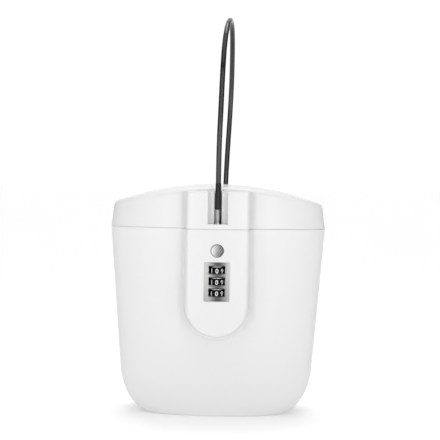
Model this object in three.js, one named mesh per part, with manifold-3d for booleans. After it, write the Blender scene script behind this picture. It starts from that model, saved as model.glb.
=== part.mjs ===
// Portable car safe: a tapered shell with a domed lid, a combination lock in a raised front panel,
// and a cable loop whose ferrule plugs into the lock through the lid.
// Millimetres. +X right, +Y to the rear, +Z up. The origin is on the base, under the lid's crest.

import * as THREE from 'three';
import { mergeVertices } from 'three/addons/utils/BufferGeometryUtils.js';
import Module from 'manifold-3d';

const wasm = await Module();
wasm.setup();

// Driving dimensions

const shell = {
  seamZ: 164,
  seamGap: 0.6,
  halfWidth: 94,
  widestY: -20,
  frontDepth: 30,
  rearDepth: 70,
  frontExponent: 2.2,
  rearExponent: 4,
  wall: 3.2,
  sideLeanShare: 0.079,
  frontLeanShare: 0.035,
  cornerAcross: 26,
  cornerDeep: 4,
  cornerHigh: 40,
  planSteps: 56,
  cornerSteps: 6,
};

const crown = {
  rise: 37.9,
  radius: 262,
  crestY: -8,
  domeDrop: 2,
  domeReach: 36,
  edgeRadius: 6,
  lean: 2.2,
  wall: 3,
  edgeSteps: 4,
  capShares: [0.8, 0.55, 0.28],
};

const panel = {
  halfWidth: 26.4,
  proud: 16,
  topRise: 32.1,
  roundDrop: 65.1,
  faceRadius: 170,
  edgeRadius: 4,
  rootRadius: 5,
  rootSink: 1.2,
  insideReach: 22,
  wall: 3,
  topSteps: 8,
  roundSteps: 20,
  edgeSteps: 4,
  capShares: [0.35, 0.7, 0.92],
};

const channel = {
  halfWidth: 8.5,
  ledge: 4,
  centreSet: 10,
  wall: 3,
  holeRadius: 3.4,
  roundSteps: 16,
};

const fit = 0.3;
const slack = 0.5;
const overrun = 2;
const reach = 400;

const faceY = shell.widestY - shell.frontDepth - panel.proud;
const rearY = shell.widestY + shell.rearDepth;
const bodyTopZ = shell.seamZ - shell.seamGap / 2;
const lidFootZ = shell.seamZ + shell.seamGap / 2;
const panelWallY = faceY + panel.wall;
const panelTopZ = shell.seamZ + panel.topRise;
const panelRoundZ = shell.seamZ - panel.roundDrop;

const hinge = {
  knuckleRadius: 4,
  wallGap: 0.6,
  pinRadius: 2,
  bodyLength: 12,
  lidLength: 11.2,
  endGap: 0.4,
  webHigh: 6,
  webSink: 2,
  pinSpare: 1,
};
const hingeY = rearY + hinge.wallGap + hinge.knuckleRadius;

const dial = {
  wheelRadius: 7.5,
  wheelThick: 6.5,
  pitch: 9.65,
  middleDrop: 44.05,
  faceSet: 1.4,
  wheelChamfer: 0.5,
  spindleRadius: 2,
  wheelCount: 3,
  discRadius: 5.8,
  discThick: 1.7,
  notchWide: 3.2,
  notchFloor: 3,
};
const lockY = faceY + dial.faceSet + dial.wheelRadius;
const wheelZ = (index) => shell.seamZ - dial.middleDrop + dial.pitch * (1 - index);

const bezel = {
  halfWidth: 11.15,
  height: 33,
  windowHalfWidth: 7.05,
  windowHigh: 6.9,
  rampInner: 7.6,
  edgeSet: 0.2,
  floorSet: 1.8,
  thick: 0.8,
};

const push = {
  drop: 18.2,
  travel: 3.5,
  capRadius: 5.3,
  capLong: 4.6,
  capProud: 0.4,
  capChamfer: 0.5,
  holeRadius: 5.7,
  stemRadius: 2.5,
  wedgeReach: 6.5,
  wedgeLand: 3.5,
  wedgeStart: 2.3,
  clipThick: 0.8,
  clipRadius: 3.6,
  tail: 0.4,
};
const pushZ = shell.seamZ - push.drop;

const latch = {
  plateDrop: 9.5,
  plateThick: 2,
  leftX: -15.4,
  rightX: 13,
  frontGap: 0.9,
  rearY: -39,
  barWide: 3,
  barDeep: 5,
  barFootShare: 0.5,
  fingerWide: 2.4,
  fingerThick: 1.3,
  fingerGap: 1,
  pegWide: 5,
  pegGap: 0.6,
  pegDeep: 5.4,
  slotRadius: 2.2,
  mouthRadius: 3.3,
};
const latchTopZ = shell.seamZ - latch.plateDrop + latch.plateThick;
const latchFootZ = shell.seamZ - latch.plateDrop;

const ferrule = {
  radius: 2.9,
  headHigh: 2.2,
  grooveRadius: 1.9,
  topRise: 16.7,
  tipChamfer: 0.8,
  sleeveTopRadius: 2.4,
  sleeveHigh: 22,
  sleeveStep: 0.05,
};
const ferruleTopZ = shell.seamZ + ferrule.topRise;
const ferruleTipZ = latchFootZ - fit - ferrule.headHigh;

const cableRadius = 2.3;
const cableSides = 8;
const cableSteps = 64;
const cableRear = { x: 6, y: 38, footZ: 160.3 };

// Route of the cable's centre line, from the top of the sleeve round the loop to the crimped stop
const cableRoute = [
  [0, -57.1, 203],
  [0, -57.3, 215],
  [0.1, -58, 230],
  [0.4, -58.9, 245],
  [0.9, -59.3, 260],
  [1.4, -58.6, 276],
  [1.9, -56.2, 292],
  [2.5, -51.4, 308],
  [3.3, -44.2, 322],
  [4.6, -34, 334.5],
  [6.2, -22, 343],
  [7.9, -9.5, 346.8],
  [9, 3.5, 344.6],
  [9.7, 15.5, 337],
  [10, 25.8, 325.5],
  [10, 33.4, 311],
  [9.8, 38.2, 295],
  [9.3, 40.8, 279],
  [8.6, 41.6, 263],
  [7.8, 41.2, 247],
  [7, 40, 231],
  [6.4, 38.7, 217],
  [6, 38, 205],
  [6, 38, 193],
  [6, 38, 180],
  [6, 38, 169],
  [6, 38, 160.3],
];

const grommet = {
  flangeRadius: 6.5,
  flangeHigh: 1,
  flangeGap: 0.3,
  barrelRadius: 4.7,
  bore: 2.7,
  reachIn: 2.4,
};

const stop = { radius: 3.6, long: 9, chamfer: 0.8 };

const seal = { grooveSet: 0.9, grooveWide: 1.6, grooveDeep: 1.6, side: 0.3, proud: 0.25 };

const frame = {
  thick: 2,
  backSet: 46.4,
  halfWidth: 18,
  armLeft: 8.2,
  armRight: 11,
  armThick: 2.2,
  lowGap: 1.2,
  highGap: 1.7,
  headRadius: 3,
  headHigh: 1.5,
  stub: 1.2,
};

const cover = {
  halfWidth: 33,
  footZ: 82,
  topZ: 151.7,
  backY: -36.6,
  wall: 2,
  screwSet: 6.4,
  screwInset: 5.6,
  bossRadius: 3.2,
  bossRoot: 8,
  screwRadius: 1.3,
  headRadius: 2.7,
  headHigh: 1.7,
  screwLong: 6.5,
  slotHalfWidth: 2.2,
  slotFootZ: 108,
  slotHigh: 9.5,
};
const coverScrewX = cover.halfWidth - cover.screwSet;

const lever = { knobHalf: 4, knobHigh: 5.8, thick: 2.4, plate: 1.4, neckHalf: 1.8, footSet: 0.6 };

const striker = {
  plateHalf: 12,
  plateFrontY: -44.1,
  plateRearY: -36.5,
  plateThick: 1.8,
  shelfGap: 1.2,
  shelfHigh: 4.6,
  shelfHalf: 14,
  stemX: 0,
  stemWide: 2.4,
  stemFrontY: -44,
  stemRearY: -40,
  toothLong: 3,
  toothHigh: 2,
  screwX: 8.5,
  screwRadius: 1.3,
  screwLong: 4,
  headRadius: 2.4,
  headHigh: 1.6,
};

const socket = { radius: 4.7, flangeRadius: 5.4, flangeHigh: 1.4, bore: 3.4 };

const coil = { wire: 0.25, latchRadius: 2, latchTurns: 5, pushRadius: 3.5, pushTurns: 3, sides: 5, steps: 8 };

const leaf = { thick: 0.3, halfWidth: 2.5, footSpare: 3, bump: 1.6 };

// Materials

const finish = (color, roughness, metalness) =>
  new THREE.MeshStandardMaterial({ color, roughness, metalness });
const whitePlastic = finish(0xeeeeec, 0.38, 0);
const blackPlastic = finish(0x141416, 0.4, 0);
const satinSilver = finish(0xb9babb, 0.32, 0.85);
const springSteel = finish(0x8d8f93, 0.35, 0.95);
const zincGrey = finish(0x85888c, 0.45, 0.8);
const darkRubber = finish(0x26272a, 0.8, 0);
const greyPlastic = finish(0x54575b, 0.6, 0);

// Solids and booleans

function solid(geometry) {
  const bare = geometry.clone();
  bare.deleteAttribute('normal');
  bare.deleteAttribute('uv');
  const merged = mergeVertices(bare);
  return new wasm.Manifold(new wasm.Mesh({
    numProp: 3,
    vertProperties: new Float32Array(merged.attributes.position.array),
    triVerts: new Uint32Array(merged.index.array),
  }));
}

function toGeometry(manifold) {
  const mesh = manifold.getMesh();
  const geometry = new THREE.BufferGeometry();
  geometry.setAttribute('position', new THREE.BufferAttribute(mesh.vertProperties, 3));
  geometry.setIndex(new THREE.BufferAttribute(mesh.triVerts, 1));
  geometry.computeVertexNormals();
  return geometry;
}

const join = (...parts) => parts.reduce((all, next) => all.add(next));
const cut = (from, ...tools) => tools.reduce((left, tool) => left.subtract(tool), from);

function box(x0, x1, y0, y1, z0, z1) {
  const geometry = new THREE.BoxGeometry(x1 - x0, y1 - y0, z1 - z0);
  geometry.translate((x0 + x1) / 2, (y0 + y1) / 2, (z0 + z1) / 2);
  return solid(geometry);
}

function roundZ(x, y, radius, z0, z1, sides = 24) {
  const geometry = new THREE.CylinderGeometry(radius, radius, z1 - z0, sides);
  geometry.rotateX(Math.PI / 2);
  geometry.translate(x, y, (z0 + z1) / 2);
  return solid(geometry);
}

function roundY(x, z, radius, y0, y1, sides = 24) {
  const geometry = new THREE.CylinderGeometry(radius, radius, y1 - y0, sides);
  geometry.translate(x, (y0 + y1) / 2, z);
  return solid(geometry);
}

function roundX(y, z, radius, x0, x1, sides = 24) {
  const geometry = new THREE.CylinderGeometry(radius, radius, x1 - x0, sides);
  geometry.rotateZ(Math.PI / 2);
  geometry.translate((x0 + x1) / 2, y, z);
  return solid(geometry);
}

// A plan outline of [x, y] points, raised from z0 to z1
function slab(points, z0, z1) {
  const shape = new THREE.Shape(points.map(([x, y]) => new THREE.Vector2(x, y)));
  const geometry = new THREE.ExtrudeGeometry(shape, { depth: z1 - z0, bevelEnabled: false });
  geometry.translate(0, 0, z0);
  return solid(geometry);
}

// A turned piece from [radius, height] points, its axis upright at x, y
function turned(points, x = 0, y = 0, sides = 24) {
  const geometry = new THREE.LatheGeometry(points.map(([r, z]) => new THREE.Vector2(r, z)), sides);
  geometry.rotateX(Math.PI / 2);
  geometry.translate(x, y, 0);
  return solid(geometry);
}

// Closed rings of equal count, skinned one to the next, with a fan over each end
function loft(rings) {
  const count = rings[0].length;
  const points = rings.flat();
  const faces = [];
  for (let ring = 0; ring < rings.length - 1; ring += 1) {
    for (let i = 0; i < count; i += 1) {
      const a = ring * count + i;
      const b = ring * count + (i + 1) % count;
      faces.push(a, b, b + count, a, b + count, a + count);
    }
  }
  [0, rings.length - 1].forEach((ring) => {
    const centre = new THREE.Vector3();
    rings[ring].forEach((point) => centre.addScaledVector(point, 1 / count));
    const hub = points.push(centre) - 1;
    for (let i = 0; i < count; i += 1) {
      const a = ring * count + i;
      const b = ring * count + (i + 1) % count;
      faces.push(...(ring === 0 ? [hub, b, a] : [hub, a, b]));
    }
  });
  const geometry = new THREE.BufferGeometry();
  geometry.setAttribute('position', new THREE.Float32BufferAttribute(points.flatMap((p) => p.toArray()), 3));
  geometry.setIndex(faces);
  return new THREE.BufferGeometry().copy(geometry);
}

function spring(start, end, radius, turns) {
  const steps = turns * coil.steps;
  const along = end.clone().sub(start);
  const across = new THREE.Vector3(0, 0, 1);
  const third = across.clone().cross(along.clone().normalize());
  const rings = [];
  for (let step = 0; step <= steps; step += 1) {
    const turn = (step / coil.steps) * 2 * Math.PI;
    const out = across.clone().multiplyScalar(Math.cos(turn)).addScaledVector(third, Math.sin(turn));
    const centre = start.clone().addScaledVector(along, step / steps).addScaledVector(out, radius);
    const ring = [];
    for (let side = 0; side < coil.sides; side += 1) {
      const angle = (side / coil.sides) * 2 * Math.PI;
      ring.push(centre.clone()
        .addScaledVector(out, coil.wire * Math.cos(angle))
        .addScaledVector(along.clone().normalize(), coil.wire * Math.sin(angle)));
    }
    rings.push(ring);
  }
  return solid(loft(rings));
}

// Plan outline of the shell: a shallow curved front and a fuller, flatter rear

function planPoint(index, inset, deepInset, z) {
  const angle = (index / shell.planSteps) * 2 * Math.PI;
  const c = Math.cos(angle);
  const s = Math.sin(angle);
  const power = 2 / (s < 0 ? shell.frontExponent : shell.rearExponent);
  const depth = (s < 0 ? shell.frontDepth : shell.rearDepth) - deepInset;
  return new THREE.Vector3(
    (shell.halfWidth - inset) * Math.sign(c) * Math.abs(c) ** power,
    shell.widestY + depth * Math.sign(s) * Math.abs(s) ** power,
    z,
  );
}

function planRing(inset, deepInset, z) {
  return Array.from({ length: shell.planSteps }, (_, i) => planPoint(i, inset, deepInset, z));
}

// Outer shell at inset 0, the hollow at the wall's thickness
function bodyForm(inset, topZ) {
  const rings = [];
  for (let step = 0; step <= shell.cornerSteps; step += 1) {
    const angle = (step / shell.cornerSteps) * Math.PI / 2;
    const z = inset + (shell.cornerHigh - inset) * (1 - Math.cos(angle));
    const below = shell.seamZ - z;
    const round = 1 - Math.sin(angle);
    rings.push(planRing(
      inset + shell.sideLeanShare * below + shell.cornerAcross * round,
      inset + shell.frontLeanShare * below + shell.cornerDeep * round,
      z,
    ));
  }
  const middleZ = (shell.cornerHigh + shell.seamZ) / 2;
  [middleZ, topZ].forEach((z) => {
    const below = Math.max(shell.seamZ - z, 0);
    rings.push(planRing(inset + shell.sideLeanShare * below, inset + shell.frontLeanShare * below, z));
  });
  return solid(loft(rings));
}

function crownZ(x, y) {
  const arc = crown.radius - Math.sqrt(crown.radius ** 2 - x ** 2);
  const dome = crown.domeDrop * ((y - crown.crestY) / crown.domeReach) ** 2;
  return shell.seamZ + crown.rise - arc - dome;
}

function lidForm(inset, footZ) {
  const rings = [planRing(inset, inset, footZ)];
  const edgeRadius = crown.edgeRadius - inset / 2;
  for (let step = 0; step <= crown.edgeSteps; step += 1) {
    const angle = (step / crown.edgeSteps) * Math.PI / 2;
    const inward = inset + crown.lean + edgeRadius * (1 - Math.cos(angle));
    const end = inset + crown.lean + edgeRadius;
    rings.push(planRing(inward, inward, 0).map((point, i) => {
      const rim = planPoint(i, end, end, 0);
      return point.setZ(crownZ(rim.x, rim.y) - inset - edgeRadius * (1 - Math.sin(angle)));
    }));
  }
  const rim = rings[rings.length - 1];
  crown.capShares.forEach((share) => rings.push(rim.map((point) => {
    const y = crown.crestY + (point.y - crown.crestY) * share;
    return new THREE.Vector3(point.x * share, y, crownZ(point.x * share, y) - inset);
  })));
  return solid(loft(rings));
}

// Raised lock panel: straight sides, a half-round foot and a flat top

function panelRing(inset, y, follow) {
  const half = panel.halfWidth - inset;
  const topZ = panelTopZ - Math.max(inset, 0);
  const points = [];
  for (let i = 0; i <= panel.topSteps; i += 1) {
    points.push([half * (1 - 2 * i / panel.topSteps), topZ]);
  }
  for (let i = 0; i <= panel.roundSteps; i += 1) {
    const angle = Math.PI * (1 + i / panel.roundSteps);
    points.push([half * Math.cos(angle), panelRoundZ + half * Math.sin(angle)]);
  }
  return points.map(([x, z]) => new THREE.Vector3(x, y + follow * x ** 2 / (2 * panel.faceRadius), z));
}

function panelForm(wall) {
  const hollow = wall > 0;
  const rootY = faceY + panel.proud + panel.rootSink;
  const frontY = faceY + wall;
  const edge = panel.edgeRadius - wall / 2;
  const rings = [];
  const flare = hollow ? 0 : panel.rootRadius;
  rings.push(panelRing(wall - flare, rootY + panel.insideReach, 0));
  for (let step = 0; step <= panel.edgeSteps; step += 1) {
    const angle = (step / panel.edgeSteps) * Math.PI / 2;
    rings.push(panelRing(wall - flare * (1 - Math.sin(angle)), rootY - flare * (1 - Math.cos(angle)), 0));
    if (hollow) break;
  }
  for (let step = 0; step <= panel.edgeSteps; step += 1) {
    const angle = (step / panel.edgeSteps) * Math.PI / 2;
    rings.push(panelRing(wall + edge * (1 - Math.cos(angle)), frontY + edge * (1 - Math.sin(angle)), 1));
  }
  panel.capShares.forEach((share) => {
    const inset = wall + edge + (panel.halfWidth - wall - edge) * share;
    rings.push(panelRing(inset, frontY, 1));
  });
  return solid(loft(rings));
}

const above = (z) => box(-reach, reach, -reach, reach, z, reach);
const below = (z) => box(-reach, reach, -reach, reach, -reach, z);

// Groove for the cable in the lid's part of the panel, widened by a wall where it is guarded
function channelForm(wall, z0, z1) {
  const half = channel.halfWidth + wall;
  const centreY = faceY + channel.centreSet;
  const points = [[-half, faceY - overrun], [half, faceY - overrun]];
  for (let i = 0; i <= channel.roundSteps; i += 1) {
    const angle = (i / channel.roundSteps) * Math.PI;
    points.push([half * Math.cos(angle), centreY + half * Math.sin(angle)]);
  }
  return slab(points, z0, z1);
}

// Hinge knuckles: three on the body, two on the lid between them

const knucklePitch = (hinge.bodyLength + hinge.lidLength) / 2 + hinge.endGap;
const bodyKnuckles = [-2, 0, 2].map((place) => place * knucklePitch);
const lidKnuckles = [-1, 1].map((place) => place * knucklePitch);

function knuckle(x, long, webFootZ, webTopZ) {
  return join(
    roundX(hingeY, shell.seamZ, hinge.knuckleRadius, x - long / 2, x + long / 2),
    box(x - long / 2, x + long / 2, rearY - hinge.webSink, hingeY, webFootZ, webTopZ),
  );
}

const pinBore = roundX(hingeY, shell.seamZ, hinge.pinRadius + fit, -reach, reach);

// Body shell

function bodyShell() {
  const outer = join(bodyForm(0, bodyTopZ), cut(panelForm(0), above(bodyTopZ)));
  const deckZ = bodyTopZ - shell.wall;
  const hollow = bodyForm(shell.wall, bodyTopZ + overrun);
  const lockRoom = cut(panelForm(panel.wall), above(deckZ));
  const grooved = cut(outer, hollow, lockRoom);
  const bosses = [-1, 1].flatMap((side) => screwHeights.map((z) =>
    roundY(side * coverScrewX, z, cover.bossRadius, cover.backY - cover.wall - fit - cover.bossRoot,
      cover.backY - cover.wall - fit)));
  const bossesInside = bosses.map((boss) => boss.intersect(bodyForm(shell.wall / 2, bodyTopZ)));
  const pilots = [-1, 1].flatMap((side) => screwHeights.map((z) =>
    roundY(side * coverScrewX, z, cover.screwRadius + fit,
      cover.backY - cover.screwLong - slack, cover.backY, 16)));
  const knuckles = bodyKnuckles.map((x) => knuckle(x, hinge.bodyLength,
    shell.seamZ - hinge.webHigh, shell.seamZ - hinge.endGap));
  const withKnuckles = join(grooved, ...knuckles, ...bossesInside);
  const sealGroove = sealRing(seal.grooveSet, seal.grooveWide, bodyTopZ - seal.grooveDeep, bodyTopZ + overrun);
  return cut(withKnuckles, sealGroove, hollowRelief(), pinBore, ...pilots,
    ...lidKnuckles.map((x) => knuckleRelief(x, hinge.lidLength)),
    roundY(0, pushZ, push.holeRadius, faceY - overrun, panelWallY + overrun),
    box(-bezel.halfWidth - fit, bezel.halfWidth + fit, faceY - overrun, panelWallY + overrun,
      wheelZ(1) - bezel.height / 2 - fit, wheelZ(1) + bezel.height / 2 + fit),
    roundZ(0, lockY, socket.radius + fit, deckZ - overrun, bodyTopZ + overrun));
}

const screwHeights = [cover.footZ + cover.screwInset, cover.topZ - cover.screwInset];

function knuckleRelief(x, long) {
  return roundX(hingeY, shell.seamZ, hinge.knuckleRadius + fit,
    x - long / 2 - hinge.endGap, x + long / 2 + hinge.endGap);
}

// The knuckle webs stop at the inside of the rear wall
function hollowRelief() {
  return bodyForm(shell.wall, bodyTopZ + overrun).intersect(
    box(-reach, reach, rearY - shell.wall - hinge.webSink, rearY, -reach, reach));
}

function sealRing(set, wide, z0, z1) {
  const outer = solid(loft([planRing(set, set, z0), planRing(set, set, z1)]));
  const inner = solid(loft([planRing(set + wide, set + wide, z0 - overrun),
    planRing(set + wide, set + wide, z1 + overrun)]));
  return cut(outer, inner);
}

// Lid shell

function lidShell() {
  const panelTop = cut(panelForm(0), below(lidFootZ));
  const outer = join(lidForm(0, lidFootZ), panelTop);
  const topZ = shell.seamZ + crown.rise + overrun;
  const guard = channelForm(channel.wall, lidFootZ - overrun, topZ + overrun);
  const hollow = cut(join(lidForm(crown.wall, lidFootZ - overrun), panelForm(panel.wall)), guard);
  const shelfFootZ = lidFootZ + striker.shelfGap;
  const shelf = box(-striker.shelfHalf, striker.shelfHalf, striker.plateFrontY - overrun,
    striker.plateRearY + slack, shelfFootZ, shelfFootZ + striker.shelfHigh);
  const knuckles = lidKnuckles.map((x) => knuckle(x, hinge.lidLength,
    shell.seamZ + hinge.endGap, shell.seamZ + hinge.webHigh));
  const walled = join(cut(outer, hollow), shelf, ...knuckles);
  const pilots = [-1, 1].map((side) => roundZ(side * striker.screwX, strikerScrewY,
    striker.screwRadius + fit, shelfFootZ - overrun, shelfFootZ + striker.screwLong, 16));
  return cut(walled, pinBore, ...pilots,
    ...bodyKnuckles.map((x) => knuckleRelief(x, hinge.bodyLength)),
    channelForm(0, lidFootZ + channel.ledge, topZ),
    roundZ(0, lockY, channel.holeRadius, lidFootZ - overrun, lidFootZ + channel.ledge + overrun),
    roundZ(cableRear.x, cableRear.y, grommet.barrelRadius + fit, lidFootZ + crown.rise / 2, topZ));
}

const strikerScrewY = (striker.plateFrontY + striker.plateRearY) / 2;

// Lock pieces

function dialBezel() {
  const edge = faceY + bezel.edgeSet;
  const floor = faceY + bezel.floorSet;
  const outline = [
    [-bezel.halfWidth, edge],
    [-bezel.rampInner, floor],
    [bezel.rampInner, floor],
    [bezel.halfWidth, edge],
    [bezel.halfWidth, edge + bezel.thick],
    [bezel.rampInner, floor + bezel.thick],
    [-bezel.rampInner, floor + bezel.thick],
    [-bezel.halfWidth, edge + bezel.thick],
  ];
  const plate = slab(outline, wheelZ(1) - bezel.height / 2, wheelZ(1) + bezel.height / 2);
  const windows = wheelIndexes.map((i) => box(-bezel.windowHalfWidth, bezel.windowHalfWidth,
    faceY - overrun, floor + overrun, wheelZ(i) - bezel.windowHigh / 2, wheelZ(i) + bezel.windowHigh / 2));
  return cut(plate, ...windows);
}

const wheelIndexes = Array.from({ length: dial.wheelCount }, (_, i) => i);

function numberWheel(index) {
  const half = dial.wheelThick / 2;
  const c = dial.wheelChamfer;
  const bore = dial.spindleRadius + fit;
  return turned([
    [bore, -half],
    [dial.wheelRadius - c, -half],
    [dial.wheelRadius, -half + c],
    [dial.wheelRadius, half - c],
    [dial.wheelRadius - c, half],
    [bore, half],
    [bore, -half],
  ], 0, lockY, 30).translate(0, 0, wheelZ(index));
}

const discTop = (index) => wheelZ(index) - dial.wheelThick / 2 - fit;

// Each disc has the true notch on the left and a false one opposite
function gateDisc(index) {
  const topZ = discTop(index);
  const disc = turned([
    [dial.spindleRadius + fit, topZ - dial.discThick],
    [dial.discRadius, topZ - dial.discThick],
    [dial.discRadius, topZ],
    [dial.spindleRadius + fit, topZ],
    [dial.spindleRadius + fit, topZ - dial.discThick],
  ], 0, lockY);
  const notches = [-1, 1].map((side) => {
    const ends = [side * dial.notchFloor, side * (dial.discRadius + overrun)].sort((a, b) => a - b);
    return box(ends[0], ends[1], lockY - dial.notchWide / 2, lockY + dial.notchWide / 2,
      topZ - dial.discThick - overrun, topZ + overrun);
  });
  return cut(disc, ...notches);
}

const lowArmTopZ = discTop(dial.wheelCount - 1) - dial.discThick - frame.lowGap;
const highArmFootZ = wheelZ(0) + dial.wheelThick / 2 + frame.highGap;
const frameFrontY = panelWallY + frame.armRight ** 2 / (2 * panel.faceRadius) + fit;

function lockFrame() {
  const backY = -frame.backSet;
  const arm = (z) => box(-frame.armLeft, frame.armRight, frameFrontY, backY + frame.thick,
    z, z + frame.armThick);
  const back = box(-frame.halfWidth, frame.halfWidth, backY, backY + frame.thick,
    lowArmTopZ - frame.armThick, latchFootZ - fit);
  return cut(join(back, arm(lowArmTopZ - frame.armThick), arm(highArmFootZ)),
    roundZ(0, lockY, dial.spindleRadius + fit, lowArmTopZ - frame.armThick - overrun,
      highArmFootZ + frame.armThick + overrun),
    roundY(0, pushZ, push.stemRadius + fit, backY - overrun, backY + frame.thick + overrun));
}

function wheelSpindle() {
  const footZ = lowArmTopZ - frame.armThick - fit;
  return turned([
    [0, footZ - frame.headHigh],
    [frame.headRadius, footZ - frame.headHigh],
    [frame.headRadius, footZ],
    [dial.spindleRadius, footZ],
    [dial.spindleRadius, highArmFootZ + frame.armThick + frame.stub],
    [0, highArmFootZ + frame.armThick + frame.stub],
  ], 0, lockY);
}

// Leaf spring with one bump behind each wheel
function detentSpring() {
  const backY = -frame.backSet - fit;
  const tipY = lockY + dial.wheelRadius + fit;
  const profile = [[backY, wheelZ(dial.wheelCount - 1) - leaf.footSpare]];
  [...wheelIndexes].reverse().forEach((i) => {
    profile.push([backY - leaf.thick, wheelZ(i) - leaf.bump]);
    profile.push([tipY, wheelZ(i)]);
    profile.push([backY - leaf.thick, wheelZ(i) + leaf.bump]);
  });
  profile.push([backY, wheelZ(0) + leaf.footSpare]);
  const shape = new THREE.Shape(profile.map(([y, z]) => new THREE.Vector2(y, z)));
  const geometry = new THREE.ExtrudeGeometry(shape, { depth: 2 * leaf.halfWidth, bevelEnabled: false });
  geometry.applyMatrix4(new THREE.Matrix4().makeBasis(
    new THREE.Vector3(0, 1, 0), new THREE.Vector3(0, 0, 1), new THREE.Vector3(1, 0, 0)));
  geometry.translate(-leaf.halfWidth, 0, 0);
  return solid(geometry);
}

const wedgeRearX = push.wedgeStart;
const wedgeFrontY = lockY + dial.spindleRadius - push.wedgeReach + wedgeRearX;

// Centre of the wedge's slope: x + y is the same all along it
const slopeSum = push.wedgeReach + wedgeFrontY;

function releaseButton() {
  const capY = faceY - push.capProud;
  const tailY = -frame.backSet + frame.thick + fit + push.clipThick + push.tail;
  const body = turned([
    [0, capY],
    [push.capRadius - push.capChamfer, capY],
    [push.capRadius, capY + push.capChamfer],
    [push.capRadius, capY + push.capLong],
    [push.stemRadius, capY + push.capLong],
    [push.stemRadius, tailY],
    [0, tailY],
  ], 0, 0, 32).rotate(-90, 0, 0).translate(0, 0, pushZ);
  const wedge = slab([
    [0, slopeSum - wedgeRearX],
    [wedgeRearX, slopeSum - wedgeRearX],
    [push.wedgeReach, wedgeFrontY],
    [push.wedgeReach, wedgeFrontY - push.wedgeLand + fit],
    [0, wedgeFrontY - push.wedgeLand + fit],
  ].reverse(), pushZ - push.stemRadius + fit, pushZ + push.stemRadius - fit);
  return join(body, wedge);
}

function buttonClip() {
  const y0 = -frame.backSet + frame.thick + fit;
  return cut(roundY(0, pushZ, push.clipRadius, y0, y0 + push.clipThick),
    roundY(0, pushZ, push.stemRadius + fit / 2, y0 - overrun, y0 + push.clipThick + overrun));
}

// One plate over the frame, with a bar of fence fingers, a peg for the button and two catches
function latchSlide() {
  const frontY = frameFrontY + latch.frontGap;
  const notchLeft = striker.stemX - push.travel - slack;
  const notchRight = striker.stemX + striker.stemWide + slack;
  const notchY = striker.stemFrontY - slack;
  const plate = slab([
    [latch.leftX, frontY],
    [latch.rightX, frontY],
    [latch.rightX, latch.rearY],
    [notchRight, latch.rearY],
    [notchRight, notchY],
    [notchLeft, notchY],
    [notchLeft, latch.rearY],
    [latch.leftX, latch.rearY],
  ], latchFootZ, latchTopZ);
  const barFootZ = discTop(dial.wheelCount - 1) - dial.discThick;
  const barRight = latch.leftX + latch.barWide;
  const bar = box(latch.leftX, barRight, lockY - latch.barDeep / 2, lockY + latch.barDeep / 2,
    barFootZ, latchFootZ + latch.plateThick * latch.barFootShare);
  const fingers = wheelIndexes.map((i) => {
    const z = discTop(i) - dial.discThick / 2;
    return box(barRight - latch.barWide * latch.barFootShare, -dial.discRadius - latch.fingerGap,
      lockY - latch.fingerWide / 2, lockY + latch.fingerWide / 2,
      z - latch.fingerThick / 2, z + latch.fingerThick / 2);
  });
  const pegLeft = wedgeRearX + 2 * latch.pegGap + fit;
  const pegSum = slopeSum + latch.pegGap;
  const pegRight = pegLeft + latch.pegWide;
  const pegX = push.wedgeReach + latch.pegGap;
  const peg = slab([
    [pegLeft, pegSum - pegLeft],
    [pegX, pegSum - pegX],
    [pegRight, pegSum - pegX],
    [pegRight, pegSum - pegX + latch.pegDeep],
    [pegLeft, pegSum - pegX + latch.pegDeep],
  ], pushZ - push.stemRadius, latchFootZ + latch.plateThick * latch.barFootShare);
  const mouth = roundZ(-push.travel, lockY, latch.mouthRadius, latchFootZ - overrun, latchTopZ + overrun);
  const slot = join(
    roundZ(0, lockY, latch.slotRadius, latchFootZ - overrun, latchTopZ + overrun),
    box(-push.travel, 0, lockY - latch.slotRadius, lockY + latch.slotRadius,
      latchFootZ - overrun, latchTopZ + overrun));
  return cut(join(plate, bar, peg, ...fingers), mouth, slot);
}

function latchSpring() {
  const z = (latchFootZ + latchTopZ) / 2;
  const y = lockY + latch.barDeep;
  const wallX = panel.halfWidth - panel.wall;
  return spring(new THREE.Vector3(latch.rightX + fit + coil.wire, y, z),
    new THREE.Vector3(wallX - fit - coil.wire, y, z), coil.latchRadius, coil.latchTurns);
}

function buttonSpring() {
  const start = slopeSum - wedgeRearX + fit + coil.wire;
  return spring(new THREE.Vector3(0, start, pushZ),
    new THREE.Vector3(0, -frame.backSet - fit - coil.wire, pushZ), coil.pushRadius, coil.pushTurns);
}

function ferruleSocket() {
  const deckZ = bodyTopZ - shell.wall;
  return turned([
    [socket.bore, deckZ - socket.flangeHigh - fit],
    [socket.flangeRadius, deckZ - socket.flangeHigh - fit],
    [socket.flangeRadius, deckZ - fit],
    [socket.radius, deckZ - fit],
    [socket.radius, bodyTopZ],
    [socket.bore, bodyTopZ],
    [socket.bore, deckZ - socket.flangeHigh - fit],
  ], 0, lockY);
}

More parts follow.
